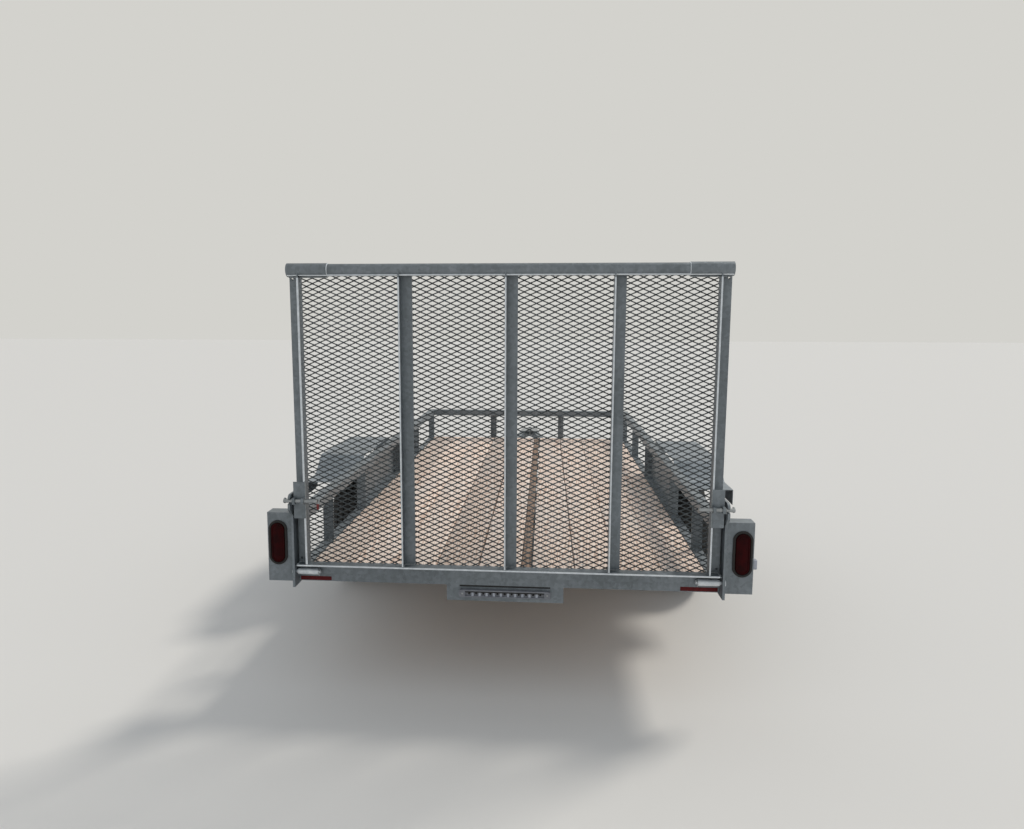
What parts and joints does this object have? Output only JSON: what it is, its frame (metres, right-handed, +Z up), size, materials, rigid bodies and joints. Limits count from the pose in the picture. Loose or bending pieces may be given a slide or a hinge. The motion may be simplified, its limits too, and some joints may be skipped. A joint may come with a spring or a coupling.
{
  "type": "utility trailer",
  "caption": "Open single-axle utility trailer with a plank deck, tube side rails, step fenders, tail lamps, a drawbar with jack and coupler, and a mesh ramp gate at the rear.",
  "frame": {"origin": "on the ground, on the centre line, halfway between the gate and the coupler's nose", "axes": "+X to the right as seen from behind, +Y forward to the coupler, +Z up"},
  "size_m": [2.36, 5.0898, 1.8747],
  "materials": {
    "axle_black": "black enamel",
    "clear_lens": "smoked clear acrylic",
    "coupler_zinc": "bright zinc plated",
    "deck_wood": "sawn softwood, weathered",
    "filler_wood": "dark hardwood strip",
    "galvanised": "hot-dip galvanised",
    "grommet_rubber": "moulded black",
    "hub_metal": "cast and greased",
    "pin_zinc": "bright zinc plated",
    "red_lens": "moulded red acrylic",
    "tyre_rubber": "matt black",
    "wheel_silver": "silver enamel"
  },
  "bodies": {
    "chassis": {"axle_beam": "axle_black", "coupler": "coupler_zinc", "coupler_latch": "coupler_zinc", "crossmembers": "galvanised", "deck_boards": "deck_wood", "deck_filler_board": "filler_wood", "fender_left": "galvanised", "fender_right": "galvanised", "front_sill": "galvanised", "hinge_pins": "pin_zinc", "hinge_plate_left": "galvanised", "hinge_plate_right": "galvanised", "jack_mount": "coupler_zinc", "lamp_box_left": "galvanised", "lamp_box_right": "galvanised", "lamp_grommets": "grommet_rubber", "lamp_lenses": "red_lens", "leaf_spring_left": "axle_black", "leaf_spring_right": "axle_black", "light_bar": "clear_lens", "light_bar_plate": "galvanised", "rail_posts_front": "galvanised", "rail_posts_left": "galvanised", "rail_posts_right": "galvanised", "rear_sill": "galvanised", "side_frame_left": "galvanised", "side_frame_right": "galvanised", "side_marker": "clear_lens", "spring_clamps": "axle_black", "spring_hangers_left": "axle_black", "spring_hangers_right": "axle_black", "tongue_left": "galvanised", "tongue_right": "galvanised", "top_rail_front": "galvanised", "top_rail_left": "galvanised", "top_rail_right": "galvanised", "wheel_panel_left": "galvanised", "wheel_panel_right": "galvanised"},
    "wheel_left": {"tyre_left": "tyre_rubber", "rim_left": "wheel_silver", "hub_left": "hub_metal"},
    "wheel_right": {"tyre_right": "tyre_rubber", "rim_right": "wheel_silver", "hub_right": "hub_metal"},
    "ramp_gate": {"gate_bars": "galvanised", "gate_bottom_angle": "galvanised", "gate_corner_sleeves": "galvanised", "gate_hinge_sleeves": "galvanised", "gate_mesh": "galvanised", "gate_side_left": "galvanised", "gate_side_right": "galvanised", "gate_top_tube": "galvanised", "latch_plates": "galvanised", "latch_rods": "pin_zinc"},
    "jack": {"jack_tube": "coupler_zinc", "jack_crank": "coupler_zinc"},
    "jack_leg": {"jack_leg": "coupler_zinc", "jack_foot": "coupler_zinc"}
  },
  "joints": [
    {"name": "wheel_left_spin", "type": "hinge", "parent": "chassis", "child": "wheel_left", "pos_m": [-1.042, -0.90991, 0.344], "axis": [1, 0, 0], "continuous": true},
    {"name": "wheel_right_spin", "type": "hinge", "parent": "chassis", "child": "wheel_right", "pos_m": [1.042, -0.90991, 0.344], "axis": [1, 0, 0], "continuous": true},
    {"name": "gate_hinge", "type": "hinge", "parent": "chassis", "child": "ramp_gate", "pos_m": [0, -2.47541, 0.543], "axis": [1, 0, 0], "range_deg": [0, 111.8]},
    {"name": "jack_swivel", "type": "hinge", "parent": "chassis", "child": "jack", "pos_m": [-0.12599, 1.90509, 0.452], "axis": [0.9903, -0.1392, 0], "range_deg": [-90, 0]},
    {"name": "jack_lift", "type": "slide", "parent": "jack", "child": "jack_leg", "axis": [0, 0, 1], "range_m": [0, 0.23]}
  ]
}
